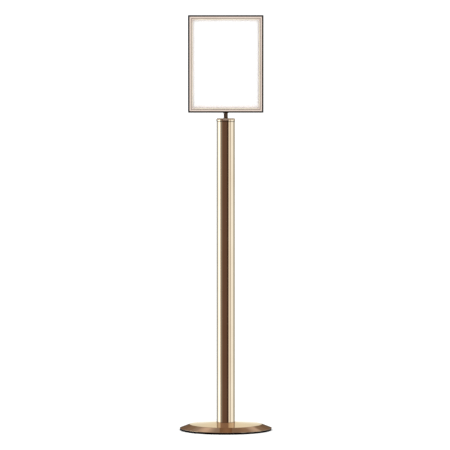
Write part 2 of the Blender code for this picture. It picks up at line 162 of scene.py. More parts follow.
def object_from(name, bm, sharp=SHARP):
    """A smooth-shaded object from a bmesh, its faces turned outwards."""
    bmesh.ops.remove_doubles(bm, verts=bm.verts, dist=SAME_PLACE)
    bmesh.ops.recalc_face_normals(bm, faces=bm.faces)
    mesh = bpy.data.meshes.new(name)
    bm.to_mesh(mesh)
    bm.free()
    mesh.shade_smooth()
    mesh.set_sharp_from_angle(angle=math.radians(sharp))
    obj = bpy.data.objects.new(name, mesh)
    bpy.context.scene.collection.objects.link(obj)
    return obj


def spun(name, outline, sides=ROUND, closed=True, x=0.0):
    """A turned piece: (radius, height) points spun about Z, then moved along X."""
    bm = bmesh.new()
    verts = [bm.verts.new((radius, 0, height)) for radius, height in outline]
    pairs = list(zip(verts, verts[1:]))
    if closed:
        pairs.append((verts[-1], verts[0]))
    edges = [bm.edges.new(pair) for pair in pairs]
    bmesh.ops.spin(
        bm,
        geom=verts + edges,
        cent=(0, 0, 0),
        axis=(0, 0, 1),
        angle=2 * math.pi,
        steps=sides,
        use_merge=True,
    )
    bmesh.ops.translate(bm, verts=bm.verts, vec=(x, 0, 0))
    return object_from(name, bm)


def cuboid(name, size, place):
    """A plain block about the matrix place."""
    bm = bmesh.new()
    bmesh.ops.create_cube(bm, size=1.0, matrix=place @ Matrix.Diagonal((*size, 1.0)))
    return object_from(name, bm)


def circle_points(radius, sides):
    angles = [2 * math.pi * step / sides for step in range(sides)]
    return [(radius * math.cos(angle), radius * math.sin(angle)) for angle in angles]


def plate_bmesh(outlines, thickness):
    """A flat plate from closed outlines in XY, the first its edge and the others its holes."""
    curve = bpy.data.curves.new("outline", "CURVE")
    curve.dimensions = "2D"
    curve.fill_mode = "BOTH"
    curve.extrude = thickness / 2
    for outline in outlines:
        spline = curve.splines.new("POLY")
        spline.points.add(len(outline) - 1)
        for point, (x, y) in zip(spline.points, outline):
            point.co = (x, y, 0, 1)
        spline.use_cyclic_u = True
    guide = bpy.data.objects.new("outline", curve)
    bpy.context.scene.collection.objects.link(guide)
    bpy.context.view_layer.update()
    mesh = bpy.data.meshes.new_from_object(guide.evaluated_get(bpy.context.evaluated_depsgraph_get()))
    bpy.data.objects.remove(guide)
    bm = bmesh.new()
    bm.from_mesh(mesh)
    bpy.data.meshes.remove(mesh)
    bmesh.ops.remove_doubles(bm, verts=bm.verts, dist=SAME_PLACE)
    return bm


def boolean(obj, tool, operation="DIFFERENCE", sharp=SHARP):
    """Applies one Boolean to obj and removes the tool."""
    modifier = obj.modifiers.new("Boolean", "BOOLEAN")
    modifier.operation = operation
    modifier.solver = "EXACT"
    modifier.object = tool
    bpy.context.view_layer.update()
    evaluated = obj.evaluated_get(bpy.context.evaluated_depsgraph_get())
    mesh = bpy.data.meshes.new_from_object(evaluated)
    obj.modifiers.clear()
    obj.data = mesh
    bpy.data.objects.remove(tool)
    mesh.shade_smooth()
    mesh.set_sharp_from_angle(angle=math.radians(sharp))


def rounded_block(name, low, high, rounding, corner):
    """A sheet or bar between two corners, standing in XZ, its four corners and its edges rounded."""
    width, depth, height = (high[i] - low[i] for i in range(3))
    signs = ((-1, -1), (1, -1), (1, 1), (-1, 1))
    corners = [(x * width / 2, y * height / 2, corner) for x, y in signs]
    bm = plate_bmesh([filleted(corners, closed=True)], depth)
    bmesh.ops.rotate(bm, verts=bm.verts, matrix=Matrix.Rotation(math.pi / 2, 3, "X"))
    middle = [(low[i] + high[i]) / 2 for i in range(3)]
    bmesh.ops.translate(bm, verts=bm.verts, vec=middle)
    rims = [e for e in bm.edges if len(e.link_faces) == 2 and e.calc_face_angle(0) > 1.0]
    bmesh.ops.bevel(bm, geom=rims, offset=rounding, segments=3, profile=0.5, affect="EDGES")
    return object_from(name, bm)


# ---------------------------------------------------------------- materials

class Nodes:
    """An emptied node tree with short calls to add and join nodes."""

    def __init__(self, owner):
        owner.use_nodes = True
        self.tree = owner.node_tree
        self.tree.nodes.clear()

    def add(self, kind, settings=None, **inputs):
        node = self.tree.nodes.new(kind)
        for key, value in (settings or {}).items():
            setattr(node, key, value)
        for key, value in inputs.items():
            self.set(node, key.replace("_", " "), value)
        return node

    def set(self, node, key, value):
        """Gives an input a number, a colour or another node's output."""
        socket = node.inputs[key]
        if isinstance(value, bpy.types.NodeSocket):
            self.tree.links.new(value, socket)
        else:
            socket.default_value = value

    def maths(self, operation, first, second=0.0):
        node = self.add("ShaderNodeMath", {"operation": operation})
        self.set(node, 0, first)
        self.set(node, 1, second)
        return node.outputs[0]

    def remap(self, value, low, high, from_low=0.0, from_high=1.0):
        """value carried from one range to another and held inside it."""
        ranges = {"From_Min": from_low, "From_Max": from_high, "To_Min": low, "To_Max": high}
        return self.add("ShaderNodeMapRange", Value=value, **ranges).outputs["Result"]

    def mix(self, share, first, second):
        """first where share is 0, second where it is 1."""
        node = self.add("ShaderNodeMix", {"data_type": "RGBA"})
        for index, value in ((0, share), (6, first), (7, second)):
            if isinstance(value, tuple):
                value = (*value, 1.0)
            self.set(node, index, value)
        return node.outputs[2]


class Finish(Nodes):
    """A material, built on the piece's own places so that it moves with it."""

    def __init__(self, name):
        self.material = bpy.data.materials.new(name)
        super().__init__(self.material)
        self.output = self.add("ShaderNodeOutputMaterial")

    def place(self, scale=(1, 1, 1)):
        """Places on the piece in metres, stretched by scale. Every piece's origin is the model's."""
        where = self.add("ShaderNodeTexCoord").outputs["Object"]
        mapping = self.add("ShaderNodeMapping", Vector=where, Scale=scale)
        return mapping.outputs["Vector"]

    def noise(self, scale, vector=None, detail=3.0, roughness=0.55):
        node = self.add("ShaderNodeTexNoise", Scale=scale, Detail=detail, Roughness=roughness)
        self.set(node, "Vector", vector if vector is not None else self.place())
        return node.outputs["Fac"]

    def bump(self, height, strength, distance):
        node = self.add("ShaderNodeBump", Strength=strength, Distance=distance, Height=height)
        return node.outputs["Normal"]

    def surface(self, shader):
        self.tree.links.new(shader, self.output.inputs["Surface"])
        return self.material

    def principled(self, **inputs):
        node = self.add("ShaderNodeBsdfPrincipled")
        for key, value in inputs.items():
            if isinstance(value, tuple):
                value = (*value, 1.0)
            self.set(node, key.replace("_", " "), value)
        return self.surface(node.outputs[0])


BRONZE = (0.600, 0.440, 0.300)
BRONZE_DEEP = (0.520, 0.355, 0.225)
BRONZE_BRIGHT = (0.720, 0.560, 0.410)
BRONZE_EDGE = (0.930, 0.830, 0.700)
# Painted shade: a darker, duller bronze for the groove's floor and the frame's outer side
DULL_SHADE = (0.370, 0.275, 0.195)
DULL_SHADE_DEEP = (0.300, 0.210, 0.140)
# Painted shade on the frame's outer side, then patina with painted shade in crevices
SIDE_SHADE_DEEP = (0.110, 0.064, 0.038)
PATINA_AND_SHADE_DEEP = (0.060, 0.034, 0.020)


def edge_mask(nodes, radius):
    """1 along sharp edges, 0 on flats: how far the rounded normal leans from the true one."""
    rounded = nodes.add("ShaderNodeBevel", Radius=radius).outputs["Normal"]
    true = nodes.add("ShaderNodeNewGeometry").outputs["Normal"]
    dot = nodes.add("ShaderNodeVectorMath", {"operation": "DOT_PRODUCT"})
    nodes.set(dot, 0, rounded)
    nodes.set(dot, 1, true)
    return nodes.remap(dot.outputs["Value"], 1.0, 0.0, 0.90, 0.999)


def crevice_mask(nodes, reach):
    """1 deep inside narrow gaps, 0 in the open."""
    open_sky = nodes.add("ShaderNodeAmbientOcclusion", {"samples": 8, "only_local": True}, Distance=reach)
    return nodes.remap(open_sky.outputs["AO"], 1.0, 0.0, 0.25, 0.85)


def polished_lines(nodes, grain):
    """Where to look up the fine polishing lines: stretched along the grain, or spun round Z."""
    if grain != "spun":
        return nodes.place(grain)
    apart = nodes.add("ShaderNodeSeparateXYZ", Vector=nodes.place())
    flat = nodes.add("ShaderNodeCombineXYZ", X=apart.outputs["X"], Y=apart.outputs["Y"])
    length = nodes.add("ShaderNodeVectorMath", {"operation": "LENGTH"})
    nodes.set(length, 0, flat.outputs[0])
    return nodes.add("ShaderNodeCombineXYZ", X=length.outputs["Value"], Z=apart.outputs["Z"]).outputs[0]


POLISHED = (BRONZE, BRONZE_DEEP, BRONZE_BRIGHT, BRONZE_EDGE)
# A darker copy of the polished bronze: painted shade on the frame's outer side
SIDE_SHADE_TONES = (DULL_SHADE_DEEP, SIDE_SHADE_DEEP, BRONZE_DEEP, BRONZE_DEEP)
# A darker, duller copy of the polished bronze: painted shade in the groove
DULL_SHADE_TONES = (DULL_SHADE, DULL_SHADE_DEEP, BRONZE_DEEP, BRONZE_EDGE)


def bronze(name, grain, roughness=0.045, grain_depth=0.0000006, tones=POLISHED):
    """Polished bronze: fine lines, cloudy toning, darker in crevices (patina and painted shade) and
    brighter along worn edges.
    """
    plain, deep, bright, edge = tones
    nodes = Finish(name)
    lines_at = polished_lines(nodes, grain)
    lines = nodes.noise(2600.0, lines_at, detail=2.0)
    coarse_lines = nodes.noise(420.0, lines_at, detail=4.0, roughness=0.65)
    cloud = nodes.noise(9.0, detail=4.0)
    speck = nodes.noise(260.0, detail=2.0)
    tone = nodes.mix(nodes.remap(cloud, 0.0, 0.45, 0.35, 0.75), plain, deep)
    tone = nodes.mix(nodes.remap(speck, 0.0, 0.35, 0.62, 0.80), tone, deep)
    worn = nodes.maths("MULTIPLY", edge_mask(nodes, 0.0005), nodes.remap(coarse_lines, 0.25, 0.85))
    tone = nodes.mix(worn, tone, bright)
    # Darker in crevices by ambient occlusion: patina and painted shade
    hollow_shade = nodes.maths("MULTIPLY", crevice_mask(nodes, 0.0030), nodes.remap(cloud, 0.7, 1.0))
    tone = nodes.mix(hollow_shade, tone, PATINA_AND_SHADE_DEEP)
    rough = nodes.maths("ADD", cloud, coarse_lines)
    rough = nodes.remap(rough, roughness * 0.75, roughness * 1.35, 0.7, 1.3)
    rough = nodes.maths("ADD", rough, nodes.maths("MULTIPLY", hollow_shade, 0.35))
    height = nodes.maths("ADD", lines, coarse_lines)
    return nodes.principled(
        Base_Color=tone,
        Metallic=1.0,
        Roughness=rough,
        Normal=nodes.bump(height, 1.0, grain_depth),
        Specular_Tint=edge,
    )


def satin_patina(name, deep, pale, gloss):
    """Oxidised bronze with a satin wax finish, so that no bare metal shows; made near black, it is painted
    shade.
    """
    nodes = Finish(name)
    cloud = nodes.noise(40.0, detail=4.0)
    pits = nodes.noise(1400.0, detail=3.0)
    tone = nodes.mix(nodes.remap(cloud, 0.0, 1.0, 0.40, 0.75), deep, pale)
    normal = nodes.bump(pits, 0.4, 0.00002)
    rough = nodes.remap(pits, 0.36, 0.55)
    return nodes.principled(Base_Color=tone, Roughness=rough, Normal=normal, Specular_IOR_Level=gloss)


def cast_iron(name):
    nodes = Finish(name)
    grit = nodes.noise(900.0, detail=5.0)
    pits = nodes.noise(130.0, detail=3.0)
    tone = nodes.mix(nodes.remap(pits, 0.0, 1.0, 0.35, 0.7), (0.020, 0.021, 0.023), (0.060, 0.060, 0.062))
    height = nodes.maths("ADD", grit, nodes.maths("MULTIPLY", pits, 2.0))
    normal = nodes.bump(height, 0.9, 0.00035)
    rough = nodes.remap(grit, 0.55, 0.85)
    return nodes.principled(Base_Color=tone, Metallic=0.35, Roughness=rough, Normal=normal)


def zinc_steel(name):
    nodes = Finish(name)
    grains = nodes.add("ShaderNodeTexVoronoi", Scale=380.0)
    nodes.set(grains, "Vector", nodes.place())
    spangle = grains.outputs["Distance"]
    cloud = nodes.noise(60.0, detail=4.0)
    tone = nodes.mix(nodes.remap(cloud, 0.0, 1.0, 0.35, 0.7), (0.48, 0.50, 0.53), (0.62, 0.62, 0.60))
    rough = nodes.remap(spangle, 0.26, 0.44, 0.0, 0.8)
    normal = nodes.bump(nodes.noise(1600.0, detail=2.0), 0.5, 0.00002)
    return nodes.principled(Base_Color=tone, Metallic=1.0, Roughness=rough, Normal=normal)


def rubber(name):
    nodes = Finish(name)
    fine = nodes.noise(2400.0, detail=3.0)
    dust = nodes.noise(35.0, detail=5.0)
    tone = nodes.mix(nodes.remap(dust, 0.0, 0.6, 0.45, 0.75), (0.002, 0.001, 0.001), (0.006, 0.005, 0.004))
    normal = nodes.bump(fine, 0.6, 0.00006)
    rough = nodes.remap(fine, 0.62, 0.85)
    return nodes.principled(Base_Color=tone, Roughness=rough, Normal=normal, Specular_IOR_Level=0.02)


def nylon(name):
    nodes = Finish(name)
    cloud = nodes.noise(120.0, detail=3.0)
    tone = nodes.mix(cloud, (0.70, 0.67, 0.58), (0.80, 0.78, 0.72))
    normal = nodes.bump(nodes.noise(1800.0), 0.4, 0.00003)
    return nodes.principled(
        Base_Color=tone, Roughness=nodes.remap(cloud, 0.38, 0.55), Normal=normal, Subsurface_Weight=0.1
    )


def paper(name):
    """White board, with warm bounce light from the bronze frame painted on a band beside it."""
    nodes = Finish(name)
    fibres = nodes.noise(1500.0, nodes.place((1, 1, 0.35)), detail=5.0, roughness=0.7)
    cloud = nodes.noise(14.0, detail=3.0)
    tone = nodes.mix(nodes.remap(fibres, 0.0, 1.0, 0.35, 0.7), (0.945, 0.945, 0.940), (0.975, 0.975, 0.972))
    tone = nodes.mix(nodes.remap(cloud, 0.0, 0.5), tone, (0.965, 0.962, 0.955))
    low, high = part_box("sign_card")
    spot = nodes.add("ShaderNodeSeparateXYZ", Vector=nodes.place())
    warm_bounce = None
    for axis, first, last in (("X", low.x, high.x), ("Z", low.z, high.z)):
        from_middle = nodes.maths("SUBTRACT", spot.outputs[axis], (first + last) / 2)
        from_middle = nodes.maths("ABSOLUTE", from_middle)
        reach = (last - first) / 2
        near_edge = nodes.remap(from_middle, 0.0, 1.0, reach - WARM_BOUNCE_WIDTH, reach - WARM_BOUNCE_HIDDEN)
        warm_bounce = near_edge if warm_bounce is None else nodes.maths("MAXIMUM", warm_bounce, near_edge)
    warm_bounce = nodes.maths("POWER", warm_bounce, 1.4)
    # Painted warm bounce light beside the frame
    tone = nodes.mix(warm_bounce, tone, (0.965, 0.865, 0.800))
    normal = nodes.bump(fibres, 0.35, 0.00004)
    return nodes.principled(Base_Color=tone, Roughness=nodes.remap(fibres, 0.50, 0.68), Normal=normal)


def clear_acrylic(name):
    """A clear sheet: what is behind shows through it, with a gloss that grows towards grazing views."""
    nodes = Finish(name)
    haze = nodes.noise(30.0, detail=4.0)
    scratches = nodes.noise(700.0, nodes.place((1, 1, 0.02)), detail=2.0)
    normal = nodes.bump(scratches, 0.08, 0.00002)
    rough = nodes.remap(haze, 0.015, 0.05)
    gloss = nodes.add("ShaderNodeBsdfGlossy", Roughness=rough, Normal=normal)
    gloss.inputs["Color"].default_value = (0.97, 0.98, 0.98, 1.0)
    clear = nodes.add("ShaderNodeBsdfTransparent")
    tint = nodes.mix(nodes.remap(haze, 0.0, 1.0, 0.3, 0.7), (0.992, 0.995, 0.995), (0.984, 0.990, 0.990))
    nodes.set(clear, "Color", tint)
    bounce = nodes.add("ShaderNodeFresnel", IOR=1.30, Normal=normal)
    share = nodes.maths("MULTIPLY", bounce.outputs[0], 0.45)
    blend = nodes.add("ShaderNodeMixShader")
    nodes.set(blend, 0, share)
    nodes.set(blend, 1, clear.outputs[0])
    nodes.set(blend, 2, gloss.outputs[0])
    return nodes.surface(blend.outputs[0])


TUBE_BRONZE = bronze("bronze_tube", (1.0, 1.0, 0.03))
SPUN_BRONZE = bronze("bronze_spun", "spun")
TURNED_BRONZE = bronze("bronze_turned", "spun", roughness=0.060)
UPRIGHT_BRONZE = bronze("bronze_upright", (1.0, 1.0, 0.02), roughness=0.060)
LEVEL_BRONZE = bronze("bronze_level", (0.02, 1.0, 1.0), roughness=0.060)
DARK_BRONZE = satin_patina("bronze_dark", (0.045, 0.022, 0.010), (0.085, 0.047, 0.024), 0.10)
# Painted shade: a darker bronze on the frame's outer side
SIDE_SHADE_BRONZE = bronze("bronze_side_shade", (1.0, 1.0, 1.0), 0.22, 0.000004, SIDE_SHADE_TONES)
# Painted shade: a near black satin bronze at the joints, the lip's foot and the frame's outer edge
PAINTED_SHADE_BRONZE = satin_patina("bronze_painted_shade", (0.002, 0.001, 0.001), (0.009, 0.005, 0.003), 0.02)
# Painted shade: a darker, duller bronze on the groove's floor
GROOVE_SHADE_BRONZE = bronze("bronze_groove_shade", (1.0, 1.0, 1.0), 0.12, 0.000001, DULL_SHADE_TONES)
IRON = cast_iron("iron")
STEEL = zinc_steel("zinc_steel")
RUBBER = rubber("rubber")
NYLON = nylon("nylon")
CARD = paper("card_paper")
ACRYLIC = clear_acrylic("clear_acrylic")
SLOT_MATERIAL = {
    "bronze": TURNED_BRONZE,
    "dark_bronze": DARK_BRONZE,
    "iron": IRON,
    "steel": STEEL,
    "rubber": RUBBER,
    "nylon": NYLON,
    "card": CARD,
    "lens": ACRYLIC,
}
NODE_SLOT = {part["node"]: part["material_slot"] for part in frame["record"]["subparts"]}
BODIES = frame["record"]["behaviour"]["bodies"]
NODE_BODY = {node: body for body, members in BODIES.items() for node in members}


def stand_for(piece, node, *materials, choose=None):
    """piece takes the CAD node's place on its body. choose picks a material by a face's centre."""
    piece.data.materials.clear()
    for material in materials:
        piece.data.materials.append(material)
    if choose:
        for polygon in piece.data.polygons:
            polygon.material_index = choose(polygon.center)
    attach(piece, NODE_BODY[node])
    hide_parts(node)
    return piece


# ---------------------------------------------------------------- base and post

def make_floor_pad():
    low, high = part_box("floor_pad")
    corners = [
        (PAD_HOLE, high.z, 0),
        (high.x, high.z, 0.0006),
        (high.x, low.z, 0.0010),
        (PAD_HOLE, low.z, 0.0008),
    ]
    stand_for(spun("foot_pad", filleted(corners, closed=True)), "floor_pad", RUBBER)


def make_base_cover():
    low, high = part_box("base_cover")
    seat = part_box("post_tube")[1].x + SEAT_MARGIN
    lip_top = low.z + LIP_HEIGHT
    bevel_radius = high.x - BEVEL_WIDTH
    corners = [
        (ROD_RADIUS + GAP, high.z, 0),
        (seat, high.z, SEAT_ROUNDING),
        (bevel_radius, BEVEL_TOP, BEVEL_ROUNDING),
        (high.x, lip_top, 0.0006),
        (high.x, low.z + LIP_PAINTED_SHADE, 0),
        (high.x, low.z, 0.0005),
        (high.x - SHEET, low.z, 0.0005),
        (high.x - SHEET, lip_top - LIP_CORNER, 0.0010),
        (bevel_radius, BEVEL_TOP - BEVEL_SHEET, BEVEL_ROUNDING - SHEET),
        (seat, high.z - SHEET, SEAT_ROUNDING),
        (ROD_RADIUS + GAP, high.z - SHEET, 0),
    ]

    def choose(centre):
        """Painted shade: black at the lip's foot."""
        return int(centre.z < low.z + LIP_PAINTED_SHADE)

    cover = spun("spun_cover", filleted(corners, closed=True))
    stand_for(cover, "base_cover", SPUN_BRONZE, PAINTED_SHADE_BRONZE, choose=choose)


def make_post():
    low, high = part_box("post_tube")
    radius = high.x
    corners = [
        (radius - POST_WALL, high.z, 0.0003),
        (radius, high.z, 0.0004),
        (radius, high.z - JOINT_SHADE, 0),
        (radius, low.z, 0.0004),
        (radius - POST_WALL, low.z, 0.0003),
    ]

    def choose(centre):
        """Painted shade: black where the tube meets the cap."""
        return int(centre.z > high.z - JOINT_SHADE)

    tube = spun("tube", filleted(corners, closed=True, steps=4))
    stand_for(tube, "post_tube", TUBE_BRONZE, PAINTED_SHADE_BRONZE, choose=choose)


def make_cap():
    low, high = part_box("post_cap")
    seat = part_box("post_tube")[1].z + GAP
    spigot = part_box("post_tube")[1].x - POST_WALL - GAP
    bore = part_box("swivel_bush")[1].x + GAP
    corners = [
        (bore, high.z, 0.0003),
        (high.x, high.z - CAP_DOME, CAP_ROUNDING),
        (high.x, seat + CAP_REVEAL + JOINT_SHADE, 0),
        (high.x, seat + CAP_REVEAL, 0.0004),
        (spigot + REVEAL_STEP, seat + CAP_REVEAL, 0),
        (spigot + REVEAL_STEP, seat, 0),
        (spigot, seat, 0),
        (spigot, low.z, 0.0008),
        (SPIGOT_BORE, low.z, 0.0005),
        (SPIGOT_BORE, seat + CAP_FLOOR, 0.0010),
        (bore, seat + CAP_FLOOR, 0),
    ]

    def choose(centre):
        """Painted shade: black below the head, where the cap meets the tube."""
        return int(centre.z < seat + CAP_REVEAL + JOINT_SHADE)

    cap = spun("cap", filleted(corners, closed=True, steps=10))
    stand_for(cap, "post_cap", TURNED_BRONZE, PAINTED_SHADE_BRONZE, choose=choose)


def make_tie_hardware():
    """The nut and washer in the pocket under the base."""
    make_nut("tie_rod_nut")
    low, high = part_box("tie_rod_washer")
    hole = ROD_RADIUS + GAP
    corners = [
        (hole, high.z, 0.0002),
        (high.x, high.z, 0.0004),
        (high.x, low.z, 0.0002),
        (hole, low.z, 0.0002),
    ]
    washer = spun("flat_washer", filleted(corners, closed=True, steps=3), SMALL_ROUND)
    stand_for(washer, "tie_rod_washer", STEEL)


def make_nut(node):
    """A hex nut whose corners are chamfered at both ends."""
    low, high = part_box(node)
    half = (high.z - low.z) / 2
    flats = high.y - low.y
    corner_radius = flats / math.sqrt(3)
    outlines = [circle_points(corner_radius, 6), circle_points(ROD_RADIUS + GAP, SMALL_ROUND)]
    nut = object_from("hex_nut", plate_bmesh(outlines, 2 * half))
    crown = flats / 2 * NUT_CROWN
    drop = (corner_radius - crown) * math.tan(NUT_CHAMFER)
    upper = [(0, half + MIDDLE_CLEAR), (crown, half + RIM_CLEAR), (corner_radius + SIDE_CLEAR, half - drop)]
    lower = [(radius, -height) for radius, height in reversed(upper)]
    boolean(nut, spun("barrel", upper + lower, SMALL_ROUND, closed=False), "INTERSECT", sharp=20)
    nut.data.transform(Matrix.Translation((0, 0, (low.z + high.z) / 2)))
    stand_for(nut, node, STEEL)


def make_tie_rod():
    """The long rod, with ring grooves for the thread at its lower end."""
    low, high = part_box("tie_rod")
    root = ROD_RADIUS - ROD_THREAD_DEPTH
    thread_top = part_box("base_weight")[1].z
    outline = [(0, high.z), (root, high.z), (ROD_RADIUS, high.z - ROD_THREAD_DEPTH)]
    turns = int((thread_top - low.z - THREAD_END) / ROD_PITCH)
    for turn in range(turns):
        crest = thread_top - turn * ROD_PITCH
        next_crest = crest - ROD_PITCH * (1 - CREST)
        outline += [(ROD_RADIUS, crest), (root, (crest + next_crest) / 2), (ROD_RADIUS, next_crest)]
    outline += [(root, low.z), (0, low.z)]
    stand_for(spun("threaded_rod", outline, SMALL_ROUND, closed=False), "tie_rod", STEEL)


# ---------------------------------------------------------------- neck

def make_neck():
    low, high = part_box("neck_stud")
    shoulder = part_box("neck_washer")[1].z + GAP
    neck_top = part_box("neck_collar")[0].z - GAP
    radius = high.x
    corners = [
        (0, high.z, 0),
        (THREAD_RADIUS, high.z, 0.0004),
        (THREAD_RADIUS, neck_top, 0),
        (radius, neck_top, 0.0004),
        (radius, shoulder, 0.0008),
        (THREAD_RADIUS, shoulder, 0),
        (THREAD_RADIUS, low.z, 0.0006),
        (0, low.z, 0),
    ]
    stud = spun("neck_pin", filleted(corners, steps=5), SMALL_ROUND, closed=False)
    stand_for(stud, "neck_stud", DARK_BRONZE)

    low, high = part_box("neck_collar")
    hole = THREAD_RADIUS + GAP
    corners = [(hole, high.z, 0), (high.x, high.z, 0.0003), (high.x, low.z, 0.0014), (hole, low.z, 0)]
    collar = spun("neck_ring", filleted(corners, closed=True, steps=6), SMALL_ROUND)
    stand_for(collar, "neck_collar", DARK_BRONZE)

    low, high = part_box("neck_washer")
    corners = [(hole, high.z, 0), (high.x, high.z, 0.0003), (high.x, low.z, 0.0003), (hole, low.z, 0)]
    washer = spun("neck_disc", filleted(corners, closed=True, steps=3), SMALL_ROUND)
    stand_for(washer, "neck_washer", DARK_BRONZE)


# ---------------------------------------------------------------- frame, card and lenses

def rail_outline(face, half_depth, channel_half):
    """A rail's section: x runs in from the frame's outer edge, y is the depth from its middle plane."""
    groove_end = GROOVE_START + GROOVE_WIDTH
    groove_floor = half_depth - GROOVE_DEPTH
    inner_face = groove_floor - RAIL_FLANGE
    lip_top = half_depth - LIP_FALL / 3
    front_half = [
        (0, half_depth, EDGE_ROUNDING),
        (FRAME_EDGE_SHADE, half_depth, 0),
        (GROOVE_START, half_depth, 0.0003),
        (GROOVE_START + GROOVE_SIDES[0], groove_floor, 0.0006),
        (groove_end - GROOVE_SIDES[1], groove_floor, 0.0006),
        (groove_end, lip_top, 0.0003),
        (face, half_depth - LIP_FALL, 0.0006),
        (face, channel_half, 0.0002),
        (face - RAIL_FLANGE, channel_half, 0),
        (groove_end, inner_face, 0.0005),
        (RAIL_WEB, inner_face, 0.0005),
    ]
    rear_half = [(x, -y, radius) for x, y, radius in reversed(front_half)]
    return filleted(front_half + rear_half, closed=True, steps=5)


def rail_piece(name, node, outline, length, turn, place, material, tools=()):
    """A length of the section, mitred at both ends, turned and put in its place.

    Its outer edges are painted black and its outer side a darker bronze, as painted shade; the groove's
    floor is duller and painted darker as shade.
    """
    half_depth = max(y for _, y in outline)
    back = (Matrix.Translation(place) @ turn).inverted()

    def choose(centre):
        x, y, _ = back @ centre
        depth = half_depth - abs(y)
        if x < ON_SIDE and depth > SIDE_STARTS:
            return SIDE_SHADE_FACE
        if x < FRAME_EDGE_SHADE:
            return SHADE_EDGE
        if GROOVE_START < x < GROOVE_START + GROOVE_WIDTH and GROOVE_TOP < depth < GROOVE_BOTTOM:
            return DULL_SHADE_GROOVE
        return PLAIN

    bm = plate_bmesh([outline], length)
    for vert in bm.verts:
        vert.co.z -= math.copysign(vert.co.x + GAP / 2, vert.co.z)
    bmesh.ops.transform(bm, matrix=Matrix.Translation(place) @ turn, verts=bm.verts)
    rail = object_from(name, bm)
    for tool in tools:
        boolean(rail, tool)
    return stand_for(rail, node, material, PAINTED_SHADE_BRONZE, GROOVE_SHADE_BRONZE, SIDE_SHADE_BRONZE, choose=choose)


def slot_tool(channel_half, top):
    """Cuts the slot that the card and the lenses leave by."""
    low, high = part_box("sign_card")
    size = (high.x - low.x + 2 * SLOT_MARGIN, 2 * channel_half, SLOT_DEPTH)
    return cuboid("slot_tool", size, Matrix.Translation((0, 0, top)))


def drill(radius, z, x):
    """Cuts a hole down through whatever is at height z."""
    low, high = z - CUT_MARGIN, z + CUT_MARGIN
    outline = [(0, high), (radius, high), (radius, low), (0, low)]
    return spun("drill", outline, SMALL_ROUND, closed=False, x=x)


def make_frame():
    left_low, left_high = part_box("rail_left")
    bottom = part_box("rail_bottom")[0].z
    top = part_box("rail_top")[1].z
    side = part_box("rail_right")[1].x
    half_depth = left_high.y
    channel_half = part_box("rear_lens")[1].y + GAP
    outline = rail_outline(left_high.x - left_low.x, half_depth, channel_half)
    middle = (bottom + top) / 2
    height = top - bottom
    still = Matrix.Identity(4)
    flip = Matrix.Rotation(math.pi, 4, "Z")
    up = Matrix.Rotation(-math.pi / 2, 4, "Y")
    down = Matrix.Rotation(math.pi / 2, 4, "Y")
    rail_piece("frame_left", "rail_left", outline, height, still, (-side, 0, middle), UPRIGHT_BRONZE)
    rail_piece("frame_right", "rail_right", outline, height, flip, (side, 0, middle), UPRIGHT_BRONZE)
    slot = slot_tool(channel_half, top)
    rail_piece("frame_top", "rail_top", outline, 2 * side, down, (0, 0, top), LEVEL_BRONZE, [slot])
    screw_low, screw_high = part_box("bar_screw_right")
    screw_x = (screw_low.x + screw_high.x) / 2
    head_radius = screw_high.x - screw_x + GAP
    drills = [drill(THREAD_RADIUS + GAP, bottom, 0.0)]
    drills += [drill(head_radius, bottom, x) for x in (-screw_x, screw_x)]
    rail_piece("frame_bottom", "rail_bottom", outline, 2 * side, up, (0, 0, bottom), LEVEL_BRONZE, drills)


def make_bar_screws():
    """Countersunk screws with a cross recess, seen from under the frame."""
    for label in ("left", "right"):
        node = "bar_screw_" + label
        low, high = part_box(node)
        x = (low.x + high.x) / 2
        head = high.x - x
        shank = head * SHANK_SHARE
        corners = [
            (0, high.z, 0),
            (shank, high.z, 0.0003),
            (shank, low.z + SHANK_TOP, 0.0003),
            (head, low.z + HEAD_RIM, 0),
            (head, low.z, 0),
            (0, low.z, 0),
        ]
        screw = spun("screw_" + label, filleted(corners, steps=3), SMALL_ROUND, closed=False, x=x)
        for turn in (0, math.pi / 2):
            place = Matrix.Translation((x, 0, low.z)) @ Matrix.Rotation(turn, 4, "Z")
            arm = cuboid("cross", (head * CROSS_LENGTH, head * CROSS_WIDTH, CROSS_DEPTH), place)
            boolean(screw, arm)
        stand_for(screw, node, STEEL)


def make_inserts():
    low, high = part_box("sign_card")
    stand_for(rounded_block("blank_card", low, high, 0.0002, corner=0.0015), "sign_card", CARD)
    for label in ("front", "rear"):
        low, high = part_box(label + "_lens")
        pane = rounded_block(label + "_pane", low, high, 0.0003, corner=0.0010)
        stand_for(pane, label + "_lens", ACRYLIC)


def dress_cad_nodes():
    """Hidden hardware keeps its CAD shape and takes a finished material."""
    for node, obj in frame["nodes"].items():
        material = SLOT_MATERIAL[NODE_SLOT[node]]
        if not obj.material_slots:
            obj.data.materials.append(material)
        for slot in obj.material_slots:
            slot.material = material


# ---------------------------------------------------------------- studio

COOL = (1.0, 1.20, 1.38)
COLD = (1.0, 1.30, 1.65)
DAYLIGHT = (1.0, 1.10, 1.14)
WARM = (1.0, 0.90, 0.88)
TAN = (1.0, 0.76, 0.62)
BROWN = (1.0, 0.65, 0.52)
ROSE = (1.0, 0.88, 0.88)
CREAM = (1.0, 1.04, 0.94)

